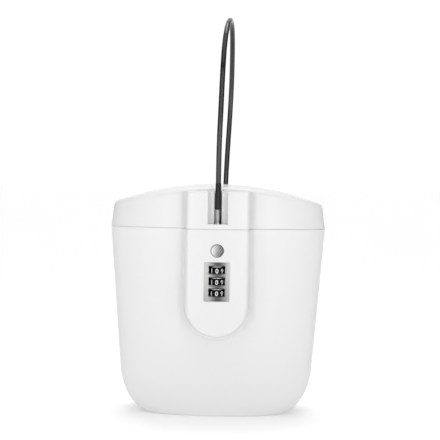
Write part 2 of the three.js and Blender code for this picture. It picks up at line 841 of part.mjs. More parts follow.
// Tray over the back of the lock, trimmed to the inside of the front wall
function lockCover() {
  const frontY = faceY + panel.proud - overrun;
  const tray = cut(
    box(-cover.halfWidth, cover.halfWidth, frontY, cover.backY, cover.footZ, cover.topZ),
    box(-cover.halfWidth + cover.wall, cover.halfWidth - cover.wall, frontY - overrun,
      cover.backY - cover.wall, cover.footZ + cover.wall, cover.topZ - cover.wall));
  const trimmed = tray.intersect(bodyForm(shell.wall + fit, bodyTopZ));
  const holes = [-1, 1].flatMap((side) => screwHeights.map((z) =>
    roundY(side * coverScrewX, z, cover.screwRadius + fit,
      cover.backY - cover.wall - overrun, cover.backY + overrun, 16)));
  const slot = box(-cover.slotHalfWidth, cover.slotHalfWidth, cover.backY - cover.wall - overrun,
    cover.backY + overrun, cover.slotFootZ, cover.slotFootZ + cover.slotHigh);
  const frameRoom = box(-frame.halfWidth - fit, frame.halfWidth + fit, -reach,
    -frame.backSet + frame.thick + fit, -reach, reach);
  return cut(trimmed, ...holes, slot, frameRoom);
}

function coverScrew(side, z) {
  const x = side * coverScrewX;
  return join(
    roundY(x, z, cover.headRadius, cover.backY + fit, cover.backY + fit + cover.headHigh, 20),
    roundY(x, z, cover.screwRadius, cover.backY - cover.screwLong, cover.backY + fit, 16));
}

function changeLever() {
  const footZ = cover.slotFootZ + lever.footSet;
  const knobTopZ = footZ + lever.knobHigh;
  const innerY = cover.backY - cover.wall - fit;
  return join(
    box(-lever.knobHalf, lever.knobHalf, cover.backY + fit, cover.backY + fit + lever.thick, footZ, knobTopZ),
    box(-lever.neckHalf, lever.neckHalf, innerY - lever.plate / 2, cover.backY + lever.thick / 2,
      footZ, knobTopZ),
    box(-lever.knobHalf, lever.knobHalf, innerY - lever.plate, innerY, footZ, knobTopZ));
}

function lidStriker() {
  const plateTopZ = lidFootZ + striker.shelfGap - fit;
  const toothFootZ = latchFootZ - fit - striker.toothHigh;
  const stemRight = striker.stemX + striker.stemWide;
  const holes = [-1, 1].map((side) => roundZ(side * striker.screwX, strikerScrewY,
    striker.screwRadius + fit, plateTopZ - striker.plateThick - overrun, plateTopZ + overrun, 16));
  return cut(join(
    box(-striker.plateHalf, striker.plateHalf, striker.plateFrontY, striker.plateRearY,
      plateTopZ - striker.plateThick, plateTopZ),
    box(striker.stemX, stemRight, striker.stemFrontY, striker.stemRearY, toothFootZ,
      plateTopZ - striker.plateThick / 2),
    box(striker.stemX, stemRight + striker.toothLong, striker.stemFrontY, striker.stemRearY,
      toothFootZ, toothFootZ + striker.toothHigh)), ...holes);
}

function strikerScrew(side) {
  const headTopZ = lidFootZ + striker.shelfGap - striker.plateThick - 2 * fit;
  const x = side * striker.screwX;
  return join(
    roundZ(x, strikerScrewY, striker.headRadius, headTopZ - striker.headHigh, headTopZ, 20),
    roundZ(x, strikerScrewY, striker.screwRadius, headTopZ, headTopZ + striker.screwLong, 16));
}

// Cable and what is on it

function cableTube() {
  const route = new THREE.CatmullRomCurve3(cableRoute.map((point) => new THREE.Vector3(...point)));
  const section = new THREE.Shape();
  for (let side = 0; side < cableSides; side += 1) {
    const angle = (side / cableSides) * 2 * Math.PI;
    const x = cableRadius * Math.cos(angle);
    const y = cableRadius * Math.sin(angle);
    if (side === 0) section.moveTo(x, y);
    else section.lineTo(x, y);
  }
  section.closePath();
  return solid(new THREE.ExtrudeGeometry(section, {
    steps: cableSteps,
    extrudePath: route,
    bevelEnabled: false,
  }));
}

function cableFerrule() {
  const grooveTopZ = latchTopZ + fit;
  return turned([
    [0, ferruleTipZ],
    [ferrule.radius - ferrule.tipChamfer, ferruleTipZ],
    [ferrule.radius, ferruleTipZ + ferrule.tipChamfer],
    [ferrule.radius, ferruleTipZ + ferrule.headHigh],
    [ferrule.grooveRadius, ferruleTipZ + ferrule.headHigh],
    [ferrule.grooveRadius, grooveTopZ],
    [ferrule.radius, grooveTopZ],
    [ferrule.radius, ferruleTopZ],
    [0, ferruleTopZ],
  ], 0, lockY);
}

function cableSleeve() {
  const footZ = ferruleTopZ + fit;
  const topZ = cableRoute[0][2] - fit;
  return turned([
    [0, footZ],
    [ferrule.radius - ferrule.sleeveStep, footZ],
    [ferrule.sleeveTopRadius, topZ],
    [0, topZ],
  ], 0, lockY);
}

function cableStop() {
  const topZ = cableRear.footZ - fit;
  return turned([
    [0, topZ - stop.long],
    [stop.radius - stop.chamfer, topZ - stop.long],
    [stop.radius, topZ - stop.long + stop.chamfer],
    [stop.radius, topZ - stop.chamfer],
    [stop.radius - stop.chamfer, topZ],
    [0, topZ],
  ], cableRear.x, cableRear.y);
}

function cableGrommet() {
  const seatZ = crownZ(cableRear.x, cableRear.y - grommet.flangeRadius) + grommet.flangeGap;
  return turned([
    [grommet.bore, seatZ - crown.wall - grommet.reachIn],
    [grommet.barrelRadius, seatZ - crown.wall - grommet.reachIn],
    [grommet.barrelRadius, seatZ],
    [grommet.flangeRadius, seatZ],
    [grommet.flangeRadius, seatZ + grommet.flangeHigh / 2],
    [grommet.flangeRadius - grommet.flangeHigh / 2, seatZ + grommet.flangeHigh],
    [grommet.bore, seatZ + grommet.flangeHigh],
    [grommet.bore, seatZ - crown.wall - grommet.reachIn],
  ], cableRear.x, cableRear.y);
}

const pinHalf = 2 * knucklePitch + hinge.bodyLength / 2 - hinge.pinSpare;

// Assembly

const safe = new THREE.Group();

function place(name, manifold, material) {
  const mesh = new THREE.Mesh(toGeometry(manifold), material);
  mesh.name = name;
  safe.add(mesh);
}

place('body_shell', bodyShell(), whitePlastic);
place('lid_shell', lidShell(), whitePlastic);
place('lid_seal', sealRing(seal.grooveSet + seal.side, seal.grooveWide - 2 * seal.side,
  bodyTopZ - seal.grooveDeep + seal.side, bodyTopZ + seal.proud), darkRubber);
place('hinge_pin', roundX(hingeY, shell.seamZ, hinge.pinRadius, -pinHalf, pinHalf), springSteel);
place('dial_bezel', dialBezel(), satinSilver);
['top', 'middle', 'bottom'].forEach((level, i) => {
  place(`number_wheel_${level}`, numberWheel(i), blackPlastic);
  place(`gate_disc_${level}`, gateDisc(i), zincGrey);
});
place('wheel_spindle', wheelSpindle(), springSteel);
place('detent_spring', detentSpring(), springSteel);
place('lock_frame', lockFrame(), zincGrey);
place('latch_slide', latchSlide(), zincGrey);
place('latch_spring', latchSpring(), springSteel);
place('release_button', releaseButton(), satinSilver);
place('button_clip', buttonClip(), springSteel);
place('button_spring', buttonSpring(), springSteel);
place('ferrule_socket', ferruleSocket(), zincGrey);
place('lock_cover', lockCover(), greyPlastic);
[-1, 1].forEach((side) => screwHeights.forEach((z, row) => {
  place(`cover_screw_${side < 0 ? 'left' : 'right'}_${row ? 'high' : 'low'}`, coverScrew(side, z), springSteel);
}));
place('code_change_lever', changeLever(), blackPlastic);
place('lid_striker', lidStriker(), zincGrey);
[-1, 1].forEach((side) => {
  place(`striker_screw_${side < 0 ? 'left' : 'right'}`, strikerScrew(side), springSteel);
});
place('cable_grommet', cableGrommet(), darkRubber);
place('cable', cableTube(), blackPlastic);
place('cable_sleeve', cableSleeve(), darkRubber);
place('cable_ferrule', cableFerrule(), satinSilver);
place('cable_stop', cableStop(), zincGrey);

export default safe;
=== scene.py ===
import math

import bpy
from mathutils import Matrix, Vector


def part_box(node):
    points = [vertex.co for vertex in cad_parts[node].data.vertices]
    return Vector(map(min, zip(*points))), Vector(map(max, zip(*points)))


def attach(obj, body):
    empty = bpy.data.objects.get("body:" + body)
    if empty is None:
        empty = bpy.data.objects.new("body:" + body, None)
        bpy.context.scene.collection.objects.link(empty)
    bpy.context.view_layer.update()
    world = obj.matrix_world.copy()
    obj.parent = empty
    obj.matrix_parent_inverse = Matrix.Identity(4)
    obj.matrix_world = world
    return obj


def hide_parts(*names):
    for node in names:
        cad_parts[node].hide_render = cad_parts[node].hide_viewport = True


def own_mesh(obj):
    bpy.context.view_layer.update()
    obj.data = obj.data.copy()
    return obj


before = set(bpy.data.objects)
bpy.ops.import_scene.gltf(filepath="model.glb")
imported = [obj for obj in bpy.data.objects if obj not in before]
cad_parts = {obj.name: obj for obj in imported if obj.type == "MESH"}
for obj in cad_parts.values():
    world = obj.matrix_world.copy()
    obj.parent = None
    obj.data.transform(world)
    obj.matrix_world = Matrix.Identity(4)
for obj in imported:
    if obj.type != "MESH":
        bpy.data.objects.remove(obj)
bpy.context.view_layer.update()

scene = bpy.context.scene
mm = 0.001
beyond = 2      # how far a long cutter reaches past its piece in all, in mm


# selecting, modifiers and finishing

def selectNone():
    if bpy.context.object and bpy.context.object.mode != "OBJECT":
        bpy.ops.object.mode_set(mode="OBJECT")
    bpy.ops.object.select_all(action="DESELECT")


def selectOnly(piece):
    bpy.ops.object.select_all(action="DESELECT")
    piece.select_set(True)
    bpy.context.view_layer.objects.active = piece


def selectFaces(piece, chosen):
    # picks the faces that the test names, and leaves the piece in edit mode
    selectOnly(piece)
    bpy.context.tool_settings.mesh_select_mode = (False, False, True)
    bpy.ops.object.mode_set(mode="EDIT")
    bpy.ops.mesh.select_all(action="DESELECT")
    bpy.ops.object.mode_set(mode="OBJECT")
    for face in piece.data.polygons:
        face.select = chosen(face)
    bpy.ops.object.mode_set(mode="EDIT")


def settle(piece):
    # puts a piece's place and turn into its mesh
    selectOnly(piece)
    bpy.ops.object.transform_apply(location=True, rotation=True, scale=True)
    return piece


def closeUp(piece, reach=0.000004):
    # merges vertices that meet and turns all faces outwards
    selectOnly(piece)
    bpy.ops.object.mode_set(mode="EDIT")
    bpy.ops.mesh.select_all(action="SELECT")
    bpy.ops.mesh.remove_doubles(threshold=reach)
    bpy.ops.mesh.normals_make_consistent(inside=False)
    bpy.ops.object.mode_set(mode="OBJECT")
    return piece


def addModifier(piece, kind, **settings):
    selectOnly(piece)
    modifier = piece.modifiers.new(kind.title(), kind)
    for key, value in settings.items():
        setattr(modifier, key, value)
    bpy.ops.object.modifier_apply(modifier=modifier.name)
    return piece


def bevelEdges(piece, width, segments=3, angle=30):
    return addModifier(piece, "BEVEL", width=width * mm, segments=segments, limit_method="ANGLE",
                       angle_limit=math.radians(angle))


def cutWith(piece, cutter, operation="DIFFERENCE"):
    addModifier(piece, "BOOLEAN", object=cutter, operation=operation, solver="EXACT")
    bpy.data.objects.remove(cutter)
    return piece


def smooth(piece, angle=35):
    selectOnly(piece)
    bpy.ops.object.shade_smooth_by_angle(angle=math.radians(angle))


def joinPieces(first, *others):
    selectOnly(first)
    for other in others:
        other.select_set(True)
    bpy.ops.object.join()
    return first


def finishPiece(piece, name, body, material, slotName, *nodes):
    piece.name = name
    piece.data.name = name
    piece.data.materials.clear()
    piece.data.materials.append(material)
    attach(piece, body)
    if nodes:
        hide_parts(*nodes)


# plain shapes that the pieces start from, with places and sizes in mm

def addBox(x0, x1, y0, y1, z0, z1, bevel=0.0):
    selectNone()
    bpy.ops.mesh.primitive_cube_add(
        size=1, location=((x0 + x1) / 2 * mm, (y0 + y1) / 2 * mm, (z0 + z1) / 2 * mm),
        scale=((x1 - x0) * mm, (y1 - y0) * mm, (z1 - z0) * mm))
    piece = settle(bpy.context.object)
    return bevelEdges(piece, bevel) if bevel else piece


def addRod(axis, centre, radius, length, bevel=0.0, sides=64):
    turn = {"X": (0, math.pi / 2, 0), "Y": (math.pi / 2, 0, 0), "Z": (0, 0, 0)}[axis]
    selectNone()
    bpy.ops.mesh.primitive_cylinder_add(vertices=sides, radius=radius * mm, depth=length * mm,
                                        location=[c * mm for c in centre], rotation=turn)
    piece = settle(bpy.context.object)
    return bevelEdges(piece, bevel) if bevel else piece


def addTurned(profile, x, y, sides=64):
    # a circle at the foot of the profile, extruded and resized up it; profile is radius, height
    selectNone()
    radius, height = profile[0]
    bpy.ops.mesh.primitive_circle_add(vertices=sides, radius=radius * mm, fill_type="NGON",
                                      location=(x * mm, y * mm, height * mm))
    bpy.ops.object.mode_set(mode="EDIT")
    bpy.ops.mesh.select_all(action="SELECT")
    for nextRadius, nextHeight in profile[1:]:
        bpy.ops.mesh.extrude_region_move(
            TRANSFORM_OT_translate={"value": (0, 0, (nextHeight - height) * mm)})
        share = nextRadius / radius
        bpy.ops.transform.resize(value=(share, share, 1),
                                 center_override=(x * mm, y * mm, nextHeight * mm))
        radius, height = nextRadius, nextHeight
    bpy.ops.mesh.select_all(action="SELECT")
    bpy.ops.mesh.normals_make_consistent(inside=False)
    bpy.ops.object.mode_set(mode="OBJECT")
    return settle(bpy.context.object)


def sheetFromRows(rows):
    # a grid primitive with one row of vertices for each row, wrapped and closed
    selectNone()
    across = len(rows[0])
    bpy.ops.mesh.primitive_grid_add(x_subdivisions=across, y_subdivisions=len(rows) - 1, size=1)
    piece = bpy.context.object
    for r, row in enumerate(rows):
        for c in range(across + 1):
            piece.data.vertices[r * (across + 1) + c].co = Vector(row[c % across]) * mm
    return closeUp(piece)


# shaders: a socket that can be used in sums

class Wire:
    def __init__(self, finish, socket):
        self.finish = finish
        self.socket = socket

    def math(self, operation, first, second):
        return self.finish.node("ShaderNodeMath", {"operation": operation}, {0: first, 1: second})

    def __add__(self, other):
        return self.math("ADD", self, other)

    def __radd__(self, other):
        return self.math("ADD", other, self)

    def __sub__(self, other):
        return self.math("SUBTRACT", self, other)

    def __rsub__(self, other):
        return self.math("SUBTRACT", other, self)

    def __mul__(self, other):
        return self.math("MULTIPLY", self, other)

    def __rmul__(self, other):
        return self.math("MULTIPLY", other, self)


class Nodes:
    def __init__(self, tree):
        self.tree = tree

    def node(self, kind, settings=None, sockets=None, out=0):
        made = self.tree.nodes.new(kind)
        for key, value in (settings or {}).items():
            setattr(made, key, value)
        for key, value in (sockets or {}).items():
            self.feed(made.inputs[key], value)
        return Wire(self, made.outputs[out])

    def feed(self, socket, value):
        if isinstance(value, Wire):
            self.tree.links.new(value.socket, socket)
        else:
            socket.default_value = value

    def ramp(self, value, start, end, low, high):
        return self.node("ShaderNodeMapRange", {"interpolation_type": "SMOOTHSTEP"}, {
            "Value": value, "From Min": start, "From Max": end, "To Min": low, "To Max": high})


class Finish(Nodes):
    def __init__(self, name, **fixed):
        self.material = bpy.data.materials.new(name)
        self.material.use_nodes = True
        super().__init__(self.material.node_tree)
        self.shader = self.tree.nodes["Principled BSDF"]
        for key, value in fixed.items():
            socket = key.replace("_", " ").title().replace("Ior", "IOR")
            self.shader.inputs[socket].default_value = value

    def coords(self, scale=(1, 1, 1), turn=(0, 0, 0)):
        place = self.node("ShaderNodeTexCoord", out="Object")
        return self.node("ShaderNodeMapping", None, {"Vector": place, "Scale": scale, "Rotation": turn})

    def across(self, start, end, low=0, high=1):
        # eases from low to high over a stretch of x in mm
        x = self.node("ShaderNodeSeparateXYZ", None, {"Vector": self.coords()})
        return self.ramp(x, start * mm, end * mm, low, high)

    def noise(self, fineness, detail=2, stretch=(1, 1, 1)):
        return self.node("ShaderNodeTexNoise", None,
                         {"Vector": self.coords(scale=stretch), "Scale": fineness, "Detail": detail})

    def tint(self, factor, dark, light):
        mixed = self.node("ShaderNodeMix", {"data_type": "RGBA"},
                          {0: factor, 6: (*dark, 1), 7: (*light, 1)}, out=2)
        self.feed(self.shader.inputs["Base Color"], mixed)

    def rough(self, pattern, level, span):
        # span is what the pattern adds to the level
        self.feed(self.shader.inputs["Roughness"], level + span * pattern)

    def bump(self, height, deep, strength=0.5):
        # deep in mm
        normal = self.node("ShaderNodeBump", None,
                           {"Height": height, "Distance": deep * mm, "Strength": strength})
        self.feed(self.shader.inputs["Normal"], normal)


def makeWhitePlastic():
    look = {
        "dark": (0.783, 0.784, 0.786), "light": (0.793, 0.794, 0.795), "cloud": 22, "grain": 1900,
        "deep": 0.005, "strength": 0.6,
        "rough": (0.25, 0.02),        # above 0.273 in all, the render's denoiser shows it as patches
    }
    f = Finish("white plastic", specular_ior_level=0.42)
    cloud = f.noise(look["cloud"], 3)
    f.tint(cloud, look["dark"], look["light"])
    f.rough(cloud, *look["rough"])
    f.bump(f.noise(look["grain"]), look["deep"], look["strength"])
    return f.material


def makeBlackCover(name, shine, dark, light, rough, streaks, stretch):
    # for the cable's jacket and sleeve: faint streaks along them
    f = Finish(name, specular_ior_level=shine)
    streak = f.noise(streaks, stretch=(1, 1, stretch))
    f.tint(streak, dark, light)
    f.rough(streak, *rough)
    return f.material


def makeSpringSteel():
    look = {
        "dark": (0.42, 0.42, 0.42), "light": (0.6, 0.6, 0.6), "streaks": 500, "rough": (0.25, 0.14),
        "deep": 0.01,
    }
    f = Finish("spring steel", metallic=1)
    streak = f.noise(look["streaks"], 3)
    f.tint(f.ramp(streak, 0, 1, 0, 1), look["dark"], look["light"])
    f.rough(streak, *look["rough"])
    f.bump(streak, look["deep"])
    return f.material


def makeFerruleSilver():
    # drawn lengthways, with painted shade on the right
    look = {
        "dark": (0.02, 0.02, 0.02), "light": (0.62, 0.62, 0.615), "streaks": 800, "level": 0.6,
        "contrast": 0.8, "paintedRightShade": 0.54, "paintedRightShadeFrom": (0.7, 1.5), "rough": (0.3, 0.1), "deep": 0.01,
    }
    f = Finish("ferrule silver", metallic=1)
    streak = f.noise(look["streaks"], 3, stretch=(1, 1, 0.05))
    # painted shade: the base colour darkens over the ferrule's right side
    paintedRightShade = look["paintedRightShade"] * f.across(*look["paintedRightShadeFrom"])
    f.tint(look["level"] + look["contrast"] * (streak - 0.5) - paintedRightShade, look["dark"], look["light"])
    f.rough(streak, *look["rough"])
    f.bump(streak, look["deep"])
    return f.material


def makeBezelSilver():
    # brushed across, with painted shade darkening the middle and, more weakly, right of it
    look = {
        "dark": (0.05, 0.05, 0.05), "light": (0.45, 0.45, 0.446), "streaks": 420, "level": 0.86,
        "contrast": 0.2, "paintedMiddleShade": 0.8, "paintedMiddleShadeFrom": (-8, 0.5), "paintedMiddleShadeTo": (1.8, 9),
        "paintedRightShade": 0.24, "paintedRightShadeFrom": (0, 6), "paintedRightShadeTo": (7, 10.5), "rough": (0.3, 0.1), "deep": 0.01,
    }
    f = Finish("bezel silver", metallic=1)
    streak = f.noise(look["streaks"], 3, stretch=(0.25, 1, 1))
    # painted shade: a dark band down the middle, and a weaker one right of it
    middle = f.across(*look["paintedMiddleShadeFrom"]) * f.across(*look["paintedMiddleShadeTo"], 1, 0)
    paintedRightShade = look["paintedRightShade"] * f.across(*look["paintedRightShadeFrom"]) * f.across(*look["paintedRightShadeTo"], 1, 0)
    shade = look["level"] - look["paintedMiddleShade"] * middle - paintedRightShade * (1 - middle)
    f.tint(shade + look["contrast"] * streak, look["dark"], look["light"])
    f.rough(streak, *look["rough"])
    f.bump(streak, look["deep"])
    return f.material


def makeButtonSilver():
    # painted shade: light on the left and darker towards the right, where diagonal hatch lines are darkened
    # in too
    look = {
        "dark": (0.03, 0.03, 0.03), "light": (0.6, 0.6, 0.594), "hatch": 190, "hatchTurn": -30,
        "paintedShadeRightwards": 0.66, "paintedShadeRightwardsOver": (-5, 5), "linesOver": (-2, 3), "lines": 0.34, "cloud": 0.08,
        "rough": (0.3, 0.1), "deep": 0.02,
    }
    f = Finish("button silver", metallic=1)
    hatch = f.node("ShaderNodeTexWave", {"bands_direction": "X"},
                   {"Vector": f.coords(turn=(0, math.radians(look["hatchTurn"]), 0)),
                    "Scale": look["hatch"], "Distortion": 1, "Detail": 2})
    cloud = f.noise(190)
    # painted shade grows towards the right; the hatch lines darken only the right half
    towardsRight = f.across(*look["paintedShadeRightwardsOver"])
    lines = hatch * f.across(*look["linesOver"], 0, look["lines"])
    f.tint(1 - look["paintedShadeRightwards"] * towardsRight - lines + look["cloud"] * cloud, look["dark"], look["light"])
    f.rough(cloud, *look["rough"])
    f.bump(hatch, look["deep"])
    return f.material


def makePlain(name, dark, light, rough, grain, metallic=0, shine=0.5):
    look = {"span": 0.15, "deep": 0.01, "strength": 0.6}
    f = Finish(name, metallic=metallic, specular_ior_level=shine)
    speckle = f.noise(grain, 3)
    f.tint(speckle, dark, light)
    f.rough(speckle, rough, look["span"])
    f.bump(speckle, look["deep"], look["strength"])
    return f.material


whitePlastic = makeWhitePlastic()
blackJacket = makeBlackCover("black cable jacket", 0.66, (0.005, 0.005, 0.0055), (0.014, 0.014, 0.015),
                             (0.08, 0.08), 260, 0.06)
blackSleeve = makeBlackCover("black sleeve", 0.35, (0.004, 0.004, 0.0045), (0.012, 0.012, 0.013),
                             (0.2, 0.14), 300, 0.1)
bezelSilver = makeBezelSilver()
ferruleSilver = makeFerruleSilver()
buttonSilver = makeButtonSilver()
springSteel = makeSpringSteel()
castZinc = makePlain("cast zinc", (0.36, 0.37, 0.39), (0.5, 0.51, 0.53), 0.38, 900, metallic=0.85)
wheelBlack = makePlain("wheel black", (0.002, 0.002, 0.002), (0.006, 0.006, 0.006), 0.4, 700, shine=0.08)
digitWhite = makePlain("digit white", (0.8, 0.8, 0.79), (0.9, 0.9, 0.89), 0.4, 1500)
blackRubber = makePlain("black rubber", (0.016, 0.016, 0.017), (0.032, 0.032, 0.034), 0.6, 1200)
greyPlastic = makePlain("grey plastic", (0.1, 0.105, 0.11), (0.14, 0.145, 0.15), 0.5, 1600)
leverBlack = makePlain("lever black", (0.014, 0.014, 0.015), (0.03, 0.03, 0.032), 0.42, 1300)
print("finishes made")


# camera at the photograph's angle, in metres and degrees

view = {
    "distance": 1.2, "eyeHeight": 0.2162, "yaw": 0.5, "roll": 0.95, "lens": 109.6,
    "aimX": 0.0014, "aimZ": 0.1696,
}


def addCamera():
    yaw = math.radians(view["yaw"])
    place = Vector((view["distance"] * math.sin(yaw), -view["distance"] * math.cos(yaw), view["eyeHeight"]))
    aim = Vector((view["aimX"], 0, view["aimZ"])) - place
    turn = aim.to_track_quat("-Z", "Y").to_euler()
    bpy.ops.object.camera_add(location=place, rotation=turn)
    camera = bpy.context.object
    camera.rotation_euler.rotate_axis("Z", math.radians(view["roll"]))
    camera.data.lens = view["lens"]
    camera.data.sensor_width = 36
    scene.camera = camera


addCamera()


# cable: from the ferrule up, over and down into the lid's rear

lockY = -57.1       # the upright line of the lock: ferrule, button's ramp and wheels
cable = {"radius": 2.3 * mm, "round": 8, "smoothness": 8}
cableRoute = [
    (0, -57.1, 203), (0, -57.3, 215), (0.1, -58, 230), (0.4, -58.9, 245), (0.9, -59.3, 260),
    (1.4, -58.6, 276), (1.9, -56.2, 292), (2.5, -51.4, 308), (3.3, -44.2, 322), (4.6, -34, 334.5),
    (6.2, -22, 343), (7.9, -9.5, 346.8), (9, 3.5, 344.6), (9.7, 15.5, 337), (10, 25.8, 325.5),
    (10, 33.4, 311), (9.8, 38.2, 295), (9.3, 40.8, 279), (8.6, 41.6, 263), (7.8, 41.2, 247),
    (7, 40, 231), (6.4, 38.7, 217), (6, 38, 205), (6, 38, 193), (6, 38, 180), (6, 38, 169), (6, 38, 160.3),
]
ferrule = {
    "profile": [(2.1, 152), (2.9, 152.8), (2.9, 154.2), (1.9, 154.25), (1.9, 156.75), (2.9, 156.8),
                (2.9, 169.3), (2.78, 169.5), (2.78, 169.9), (2.9, 170.1), (2.9, 178.4), (2.78, 178.6),
                (2.78, 179), (2.9, 179.2), (2.9, 180.3), (2.6, 180.7)],
    "sleeve": [(2.6, 181), (2.85, 181.25), (2.84, 182.5), (2.62, 192), (2.44, 201), (2.4, 202.8),
               (2.32, 203.3)],
}


def addCable():
    route = [Vector(point) * mm for point in cableRoute]
    curve = bpy.data.curves.new("cableJacket", "CURVE")
    curve.dimensions = "3D"
    curve.bevel_depth = cable["radius"]
    curve.bevel_resolution = cable["round"]
    curve.resolution_u = cable["smoothness"]
    curve.use_fill_caps = True
    spline = curve.splines.new("BEZIER")
    spline.bezier_points.add(len(route) - 1)
    for knot, point in zip(spline.bezier_points, route):
        knot.co = point
        knot.handle_left_type = knot.handle_right_type = "AUTO"
    piece = bpy.data.objects.new("cableJacket", curve)
    scene.collection.objects.link(piece)
    curve.materials.append(blackJacket)
    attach(piece, "cable_loop")
    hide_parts("cable")
    length = sum((b - a).length for a, b in zip(route, route[1:]))
    return piece, route[0], length


def addFerrule():
    plug = addTurned(ferrule["profile"], 0, lockY)
    smooth(plug, 40)
    finishPiece(plug, "cableFerrule", "cable_loop", ferruleSilver, "satin_silver", "cable_ferrule")
    sleeve = addTurned(ferrule["sleeve"], 0, lockY)
    smooth(sleeve, 60)
    finishPiece(sleeve, "cableSleeve", "cable_loop", blackSleeve, "black_rubber", "cable_sleeve")
    return plug, sleeve


cablePiece, cableExit, cableLength = addCable()
ferrulePiece, sleevePiece = addFerrule()
print("cable made, length", round(cableLength, 4))


# shells: one sheet wrapped round the plan, down the outside and up the inside

plan = {
    "halfWidth": 94, "widestY": -20, "front": 30, "rear": 70, "frontPower": 2.2, "rearPower": 4,
    "seamZ": 164, "gap": 0.06, "sideLean": 0.079, "frontLean": 0.035, "cornerAcross": 26, "cornerDeep": 4,
    "cornerHigh": 40, "wall": 3.2, "lip": 0.6, "sealSeat": 0.36, "rimInset": 1, "seatInset": 1.05,
    "deckStep": 0.02,
}
panel = {
    "half": 26.4, "faceY": -66, "topZ": 196.1, "roundZ": 98.9, "faceRadius": 170, "height": 16,
    "edge": 2.3, "root": 3.6, "draft": 10, "edgeShift": 0.25, "deckZ": 160.5, "topEdge": 1.4,
}
lidForm = {
    "crestZ": 201.9, "radius": 262, "crestY": -8, "drop": 2, "reach": 36, "edge": 6, "lean": 2.2, "wall": 3,
    "topDrop": 3.8, "topStep": 0.001, "blendFrom": 31, "blendTo": 52,
}
groove = {"half": 8.5, "floorY": -53.7, "rise": 8.5, "ledgeZ": 168.3, "slotHalf": 3.12, "shelfY": -57}
grid = {
    # columns over the front, at the groove's walls, and from the panel's zone round the sides and the back
    "step": 0.7, "stepCount": 29, "flankFrom": 20, "flankStep": 0.4, "flankCount": 31,
    "walls": (3.06, 3.18, 8.42, 8.56, 11.42, 11.56), "crowded": (8.4, 11.2), "near": 0.01, "sideCount": 84,
    # the body's rows: stretches of height and how many in each, closest at the panel's foot
    "outside": ((plan["cornerHigh"], 66, 8), (66, 101, 78), (101, 161, 24)), "outsideTop": [161, 162.2],
    "inside": ((101, 158, 10), (70, 101, 22)), "insideFoot": [62, 52], "outerCorner": 22, "innerCorner": 8,
    "base": (0, 0.3, 0.6, 0.85), "floor": (0.7, 0.35, 0),
    # the lid's rows up its side, below and above the groove's ledge, and round its edge
    "sideLow": [1.5, 2.5], "ledgeStep": 0.05, "aboveLedge": 1.4, "side": 14, "outerEdge": 8, "innerEdge": 4,
}
quarter = [math.pi / 8 * i for i in range(5)]       # a right angle in four steps


def spread(start, end, count):
    return [start + (end - start) * i / count for i in range(count)]


def eased(low, high, value):
    t = min(max((value - low) / (high - low), 0), 1)
    return t * t * (3 - 2 * t)


def flankTable(count=8):
    # height of the panel's flank against distance out from its outline
    edge, root, height = panel["edge"], panel["root"], panel["height"]
    draft = math.radians(panel["draft"])
    table = []
    for i in range(count + 1):
        angle = (math.pi / 2 - draft) * i / count
        table.append((edge * (math.sin(angle) - 1), height - edge * (1 - math.cos(angle))))
    wallTop = table[-1]
    rootRise = root * (1 - math.sin(draft))
    wallRun = (wallTop[1] - rootRise) * math.tan(draft)
    rootStart = wallTop[0] + wallRun
    for i in range(count + 1):
        angle = (math.pi / 2 - draft) * (1 - i / count)
        run = root * (math.cos(draft) - math.sin(angle))
        table.append((rootStart + run, root * (1 - math.cos(angle))))
    return [(d + panel["edgeShift"], h / height) for d, h in table]


flank = flankTable()


def flankShare(d):
    # 1 on the panel's face, 0 on the shell beside it
    if d <= flank[0][0]:
        return 1.0
    for (d0, s0), (d1, s1) in zip(flank, flank[1:]):
        if d <= d1:
            return s0 + (s1 - s0) * (d - d0) / max(d1 - d0, 1e-9)
    return 0.0


def frontColumns():
    # places across the front: closer over the panel's flanks and at the walls of the cable's groove
    places = [i * grid["step"] for i in range(grid["stepCount"])]
    places += [grid["flankFrom"] + i * grid["flankStep"] for i in range(grid["flankCount"])]
    places = [p for p in places if all(abs(p - crowded) > grid["near"] for crowded in grid["crowded"])]
    places = sorted(set(round(p, 3) for p in places + list(grid["walls"])))
    return [-p for p in reversed(places) if p > 0] + places


columns = frontColumns()


def planRow(inset, deepInset):
    # one closed row of x, y: constant x over the front's middle, even angles elsewhere
    half = plan["halfWidth"] - inset
    front = plan["front"] - deepInset
    rear = plan["rear"] - deepInset
    frontPower = plan["frontPower"]
    row = []
    for x in columns:
        share = min(abs(x) / half, 1)
        row.append((x, plan["widestY"] - front * (1 - share ** frontPower) ** (1 / frontPower)))
    startAngle = -math.acos((columns[-1] / half) ** (frontPower / 2))
    for i in range(1, grid["sideCount"]):
        angle = startAngle + (math.pi - 2 * startAngle) * i / grid["sideCount"]
        c, s = math.cos(angle), math.sin(angle)
        power, depth = (frontPower, front) if s < 0 else (plan["rearPower"], rear)
        row.append((half * math.copysign(abs(c) ** (2 / power), c),
                    plan["widestY"] + depth * math.copysign(abs(s) ** (2 / power), s)))
    return row


def panelShare(x, y, z, offset, lip=0.0):
    if y > plan["widestY"]:
        return 0.0
    below = max(panel["roundZ"] - z, 0)
    return flankShare(math.hypot(x, below) - panel["half"] + offset + lip)


def panelFaceY(x, offset, lip=0.0):
    return panel["faceY"] + offset + lip + x * x / (2 * panel["faceRadius"])


def bodyRow(z, offset, lip=0.0, cornerAngle=math.pi / 2, raised=True):
    below = max(plan["seamZ"] - z, 0)
    around = 1 - math.sin(cornerAngle)
    inset = offset + lip + plan["sideLean"] * below + plan["cornerAcross"] * around
    deepInset = offset + lip + plan["frontLean"] * below + plan["cornerDeep"] * around
    row = []
    for x, y in planRow(inset, deepInset):
        share = panelShare(x, y, z, offset, lip) if raised else 0
        row.append((x, y + (panelFaceY(x, offset, lip) - y) * share, z))
    return row


